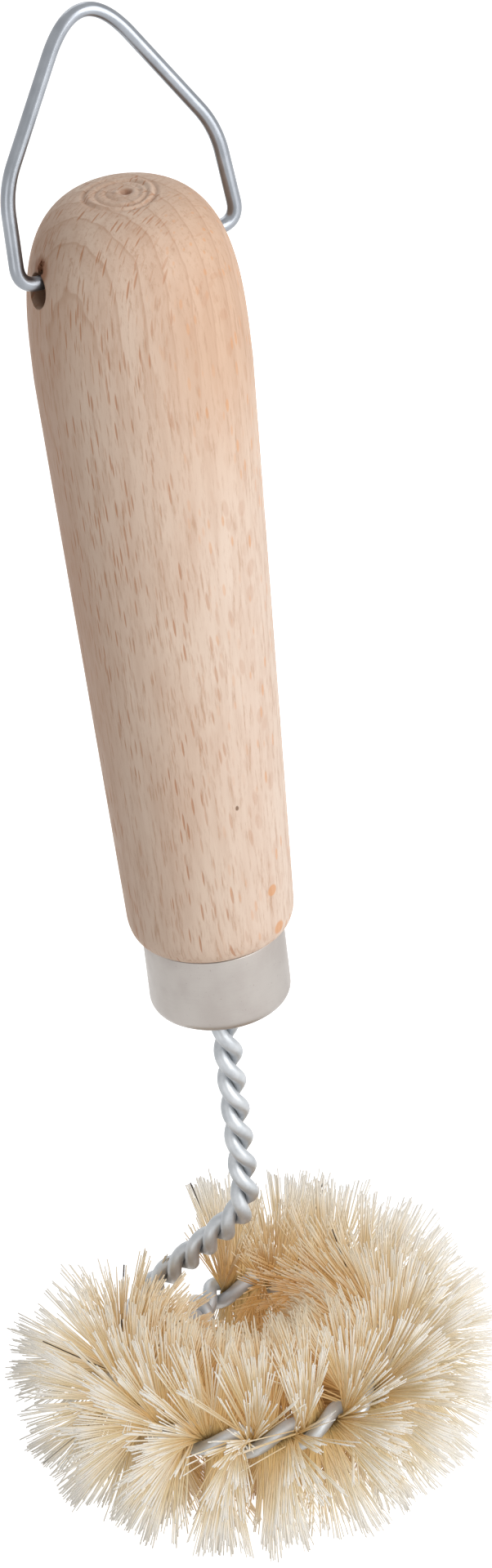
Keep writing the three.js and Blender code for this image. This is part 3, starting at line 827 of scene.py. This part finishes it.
hair_tree, given, result = new_tree("hair_fill", {
    "Hairs": "NodeSocketInt",
    "Wisp": "NodeSocketInt",
    "Reach": "NodeSocketFloat",
    "Radius": "NodeSocketFloat",
    "Splay": "NodeSocketFloat",
    "Fray": "NodeSocketFloat",
    "Bend": "NodeSocketFloat",
    "Floor": "NodeSocketFloat",
    "Seed": "NodeSocketInt",
})
hair_number = add(hair_tree, "GeometryNodeInputIndex").outputs[0]
wisp_number = reckon(hair_tree, "FLOOR", reckon(hair_tree, "DIVIDE", hair_number, given["Wisp"]))


def scaled(vector, scale):
    """A vector times a number."""
    inputs = {0: vector, "Scale": scale}
    return add(hair_tree, "ShaderNodeVectorMath", inputs, operation="SCALE").outputs["Vector"]


def drawn_number(what, low, high, by):
    """A random number for each hair or each wisp."""
    seed = reckon(hair_tree, "ADD", given["Seed"], HAIR_DRAWS.index(what) + 1)
    inputs = {2: low, 3: high, "ID": by, "Seed": seed}
    return add(hair_tree, "FunctionNodeRandomValue", inputs, data_type="FLOAT").outputs[1]


def drawn_vector(what, scale, by):
    """A random vector for each hair or each wisp, as long as the scale at most on each axis."""
    seed = reckon(hair_tree, "ADD", given["Seed"], HAIR_DRAWS.index(what) + 1)
    inputs = {0: (-1, -1, -1), 1: (1, 1, 1), "ID": by, "Seed": seed}
    node = add(hair_tree, "FunctionNodeRandomValue", inputs, data_type="FLOAT_VECTOR")
    return scaled(node.outputs[0], scale)


def kept(title, kind):
    """A value that the geometry keeps under that name."""
    return add(hair_tree, "GeometryNodeInputNamedAttribute", {"Name": title}, data_type=kind).outputs[0]


def keep(geometry, title, value, kind, domain):
    """The geometry with a value kept on it under a name."""
    inputs = {"Geometry": geometry, "Name": title, "Value": value}
    node = add(hair_tree, "GeometryNodeStoreNamedAttribute", inputs, data_type=kind, domain=domain)
    return node.outputs["Geometry"]


def parts_of(vector):
    """A vector's three numbers."""
    return add(hair_tree, "ShaderNodeSeparateXYZ", {0: vector}).outputs


def position():
    """Where each point of the geometry is."""
    return add(hair_tree, "GeometryNodeInputPosition").outputs[0]


line = add(hair_tree, "GeometryNodeMeshToCurve", {"Mesh": given["Geometry"]})
places = add(hair_tree, "GeometryNodeResampleCurve", {
    "Curve": line.outputs["Curve"], "Count": given["Hairs"],
})
roots = add(hair_tree, "GeometryNodeCurveToPoints", {"Curve": places.outputs["Curve"]}, mode="EVALUATED")
scattered = add(hair_tree, "GeometryNodeSetPosition", {
    "Geometry": roots.outputs["Points"], "Offset": drawn_vector("scatter", HAIR_SCATTER * MM, hair_number),
})
side = reckon(hair_tree, "SIGN", drawn_number("side", -1, 1, wisp_number))
loose = reckon(hair_tree, "GREATER_THAN", drawn_number("loose", 0, 1, wisp_number), LOOSE_FROM)
splay = product(hair_tree, given["Splay"], reckon(hair_tree, "MULTIPLY_ADD", loose, LOOSE_SPLAY, 1))
direction = scaled(kept("toward_hair", "FLOAT_VECTOR"), side)
direction = reckon_vector(hair_tree, "ADD", direction, drawn_vector("splay", splay, wisp_number))
direction = reckon_vector(hair_tree, "ADD", direction, drawn_vector("fray", given["Fray"], hair_number))
direction = reckon_vector(hair_tree, "NORMALIZE", direction)
aimed = add(hair_tree, "FunctionNodeAlignRotationToVector", {"Vector": direction}, axis="Z")
strand = add(hair_tree, "GeometryNodeMeshCone", {
    "Vertices": HAIR_SIDES,
    "Side Segments": HAIR_RUNS,
    "Radius Top": HAIR_TAPER,
    "Radius Bottom": 1.0,
    "Depth": 1.0,
})
measured = keep(strand.outputs["Mesh"], "grown", parts_of(position())["Z"], "FLOAT", "POINT")
thickness = product(hair_tree, given["Radius"], drawn_number("thickness", *THICKNESS_SPREAD, hair_number))
upright = reckon(hair_tree, "ABSOLUTE", parts_of(direction)["Z"])
length = product(
    hair_tree,
    given["Reach"],
    drawn_number("wisp length", *WISP_LENGTH_SPREAD, wisp_number),
    drawn_number("length", *LENGTH_SPREAD, hair_number),
    reckon(hair_tree, "MULTIPLY_ADD", upright, UPRIGHT_GAIN, 1),
)
size = add(hair_tree, "ShaderNodeCombineXYZ", {0: thickness, 1: thickness, 2: length})
hairs = add(hair_tree, "GeometryNodeInstanceOnPoints", {
    "Points": scattered.outputs["Geometry"],
    "Instance": measured,
    "Rotation": aimed.outputs["Rotation"],
    "Scale": size.outputs["Vector"],
})
hair_tone = drawn_number("tone", 0, 1, hair_number)
marked = keep(hairs.outputs["Instances"], "tone", hair_tone, "FLOAT", "INSTANCE")
marked = keep(marked, "wisp_tone", drawn_number("wisp tone", 0, 1, wisp_number), "FLOAT", "INSTANCE")
bend = drawn_vector("bend", given["Bend"], wisp_number)
marked = keep(marked, "bent", bend, "FLOAT_VECTOR", "INSTANCE")
fixed = add(hair_tree, "GeometryNodeRealizeInstances", {"Geometry": marked})
curl = scaled(kept("bent", "FLOAT_VECTOR"), reckon(hair_tree, "POWER", kept("grown", "FLOAT"), 2))
curled = add(hair_tree, "GeometryNodeSetPosition", {"Geometry": fixed.outputs["Geometry"], "Offset": curl})
standing = parts_of(position())
lifted = add(hair_tree, "ShaderNodeCombineXYZ", {
    0: standing["X"], 1: standing["Y"], 2: reckon(hair_tree, "MAXIMUM", standing["Z"], given["Floor"]),
})
pressed = add(hair_tree, "GeometryNodeSetPosition", {
    "Geometry": curled.outputs["Geometry"], "Position": lifted.outputs["Vector"],
})
soft = add(hair_tree, "GeometryNodeSetShadeSmooth", {"Geometry": pressed.outputs["Geometry"]})
whole = add(hair_tree, "GeometryNodeRealizeInstances", {"Geometry": soft.outputs["Geometry"]})
dyed = add(hair_tree, "GeometryNodeSetMaterial", {"Geometry": whole.outputs["Geometry"], "Material": hair})
hair_tree.links.new(dyed.outputs["Geometry"], result)

quarter = (fill_finish - fill_begin) / len(HAIR_QUARTERS)
for number, name in enumerate(HAIR_QUARTERS):
    begin = fill_begin + quarter * number
    inside = (stem_along >= begin) & (stem_along <= begin + quarter)
    tuft = line_piece("hair_" + name, stem_line[inside], {"toward_hair": toward_hair[inside]})
    run_tree(tuft, hair_tree, {
        "Hairs": HAIRS_A_PIECE,
        "Wisp": HAIRS_A_WISP,
        "Reach": HAIR_REACH * MM,
        "Radius": HAIR_RADIUS * MM,
        "Splay": HAIR_SPLAY,
        "Fray": HAIR_FRAY,
        "Bend": HAIR_BEND * MM,
        "Floor": HAIR_FLOOR * MM,
        "Seed": HAIR_SEED + HAIR_SEED_STEP * number,
    })
    # Light passes through such fine hair, so it throws no shadow, which would darken the fill's own inside.
    tuft.visible_shadow = False
    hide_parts("bristles_" + name)
    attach(tuft, "brush")


# Hanging loop: one galvanised wire, bent by hand into a pointed bail, with its ends sprung into the hole
# across the handle. It swings about the hole and leans back a little.
LOOP_AXIS_Z = 211.1
LOOP_WIRE_RADIUS = 1.1
LOOP_WIRE_SIDES = 24
LOOP_WIRE_STEP = 0.4
LOOP_HALF_WIDTH = 17.6
LOOP_KNEE_HALF_WIDTH = 16.8
LOOP_KNEE_Z = 14.9
LOOP_PEAK_Z = 42.9
LOOP_BEND_CUT = 3.4
LOOP_KNEE_CUT = 4.0
LOOP_PEAK_CUT = 12.6
LOOP_END = 8.1
LOOP_LEAN = 10
LOOP_PALE = paint(150, 154, 160)
LOOP_DULL = paint(139, 143, 149)
LOOP_CLOUD_WAVES = (0.3, 0.3, 0.3)
LOOP_CLOUD = (0.3, 0.7)
LOOP_ROUGHNESS = 0.28
LOOP_METALLIC = 0.95

loop_path = rounded_path((-LOOP_END, 0, 0), [
    ((-LOOP_HALF_WIDTH, 0, 0), LOOP_BEND_CUT),
    ((-LOOP_KNEE_HALF_WIDTH, 0, LOOP_KNEE_Z), LOOP_KNEE_CUT),
    ((0, 0, LOOP_PEAK_Z), LOOP_PEAK_CUT),
    ((LOOP_KNEE_HALF_WIDTH, 0, LOOP_KNEE_Z), LOOP_KNEE_CUT),
    ((LOOP_HALF_WIDTH, 0, 0), LOOP_BEND_CUT),
], (LOOP_END, 0, 0))
lean = np.array(Matrix.Rotation(math.radians(-LOOP_LEAN), 3, "X"))
loop_path = loop_path @ lean.T + np.array([AXIS_X, AXIS_Y, LOOP_AXIS_Z])
loop = line_piece("wire_loop", even_steps(loop_path, LOOP_WIRE_STEP)[0])

bright_wire, tree, shader = new_material("bright_wire")
cloud = grain(tree, place_in_mm(tree), LOOP_CLOUD_WAVES, detail=3)
colour = mix_colours(tree, span(tree, cloud, *LOOP_CLOUD), LOOP_PALE, LOOP_DULL)
tree.links.new(colour, shader.inputs["Base Color"])
shader.inputs["Roughness"].default_value = LOOP_ROUGHNESS
shader.inputs["Metallic"].default_value = LOOP_METALLIC
run_tree(loop, wire_tree, {
    "Radius": LOOP_WIRE_RADIUS * MM, "Sides": LOOP_WIRE_SIDES, "Coating": bright_wire,
})
smooth(loop, WIRE_SHARP_FROM)
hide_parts("hanging_loop")
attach(loop, "loop")


# Studio: a white floor under a white sky, a large soft lamp on the right, a weak one low on the left and
# another behind, and the camera from above the front, tilted so that the handle leans to the left. A lamp is
# its place, counted to the camera's right, toward the viewer and up, its distance, its size and its watts.
FLOOR_HALF = 4000
PAPER = paint(235, 235, 235)
PAPER_ROUGHNESS = 0.9
PAPER_GLOW = 0.74
SKY_LIGHT = 0.38
SKY_SEEN = 1.0
LAMP_AIM = Vector((0, 0, 120)) * MM
LAMP_RIGHT = Vector((0.9272, -0.3746, 0))
LAMP_FRONT = Vector((-0.3746, -0.9272, 0))
LAMP_UP = Vector((0, 0, 1))
LAMPS = {
    "key": ((0.83, 0.56, 0.45), 1000, 900, 8.6),
    "back": ((-0.2, -0.8, 0.6), 1200, 800, 2.0),
    "fill": ((-0.5, 0.85, 0.08), 1200, 600, 1.6),
}
CAMERA_TARGET = Vector((8.84, -1.44, 120.24)) * MM
CAMERA_DISTANCE = 1300
CAMERA_AWAY = Vector((-0.3223, -0.7977, 0.5096))
CAMERA_ROLL = 6.866
CAMERA_LENS = 198.5
CAMERA_SENSOR = 36


def seen_itself(tree):
    """1 for a ray that shows the background itself, straight from the camera, off metal or through glass."""
    ray = add(tree, "ShaderNodeLightPath").outputs
    shown = reckon(tree, "MAXIMUM", ray["Is Camera Ray"], ray["Is Glossy Ray"])
    return reckon(tree, "MAXIMUM", shown, ray["Is Transmission Ray"])


edge = FLOOR_HALF * MM
corners = [(-edge, -edge, 0), (edge, -edge, 0), (edge, edge, 0), (-edge, edge, 0)]
floor_mesh = bpy.data.meshes.new("floor")
floor_mesh.from_pydata(corners, [], [(0, 1, 2, 3)])
floor = bpy.data.objects.new("floor", floor_mesh)
scene.collection.objects.link(floor)
paper, tree, shader = new_material("white_paper")
shader.inputs["Base Color"].default_value = PAPER
shader.inputs["Roughness"].default_value = PAPER_ROUGHNESS
shader.inputs["Specular IOR Level"].default_value = 0
glow = add(tree, "ShaderNodeEmission", {"Strength": product(tree, seen_itself(tree), PAPER_GLOW)})
both = add(tree, "ShaderNodeAddShader", {0: shader.outputs["BSDF"], 1: glow.outputs["Emission"]})
tree.links.new(both.outputs["Shader"], tree.nodes["Material Output"].inputs["Surface"])
floor_mesh.materials.append(paper)

world = bpy.data.worlds.new("white_sky")
world.use_nodes = True
scene.world = world
sky = world.node_tree.nodes["Background"]
sky.inputs["Color"].default_value = (1, 1, 1, 1)
strength = add(world.node_tree, "ShaderNodeMapRange", {
    "Value": seen_itself(world.node_tree), "To Min": SKY_LIGHT, "To Max": SKY_SEEN,
})
world.node_tree.links.new(strength.outputs[0], sky.inputs["Strength"])

for name, ((right, front, up), distance, size, watts) in LAMPS.items():
    light = bpy.data.lights.new(name, "AREA")
    light.size = size * MM
    light.energy = watts
    lamp = bpy.data.objects.new(name, light)
    scene.collection.objects.link(lamp)
    toward = (LAMP_RIGHT * right + LAMP_FRONT * front + LAMP_UP * up).normalized()
    lamp.location = LAMP_AIM + toward * distance * MM
    lamp.rotation_euler = toward.to_track_quat("Z", "Y").to_euler()

camera_data = bpy.data.cameras.new("camera")
camera_data.lens = CAMERA_LENS
camera_data.sensor_width = CAMERA_SENSOR
camera = bpy.data.objects.new("camera", camera_data)
scene.collection.objects.link(camera)
back = CAMERA_AWAY.normalized()
level = Vector((0, 0, 1)).cross(back).normalized()
upright = back.cross(level)
roll = math.radians(CAMERA_ROLL)
right = level * math.cos(roll) - upright * math.sin(roll)
up = level * math.sin(roll) + upright * math.cos(roll)
turn = Matrix((right, up, back)).transposed().to_4x4()
camera.matrix_world = Matrix.Translation(CAMERA_TARGET + back * CAMERA_DISTANCE * MM) @ turn
scene.camera = camera
scene.view_settings.view_transform = "Standard"
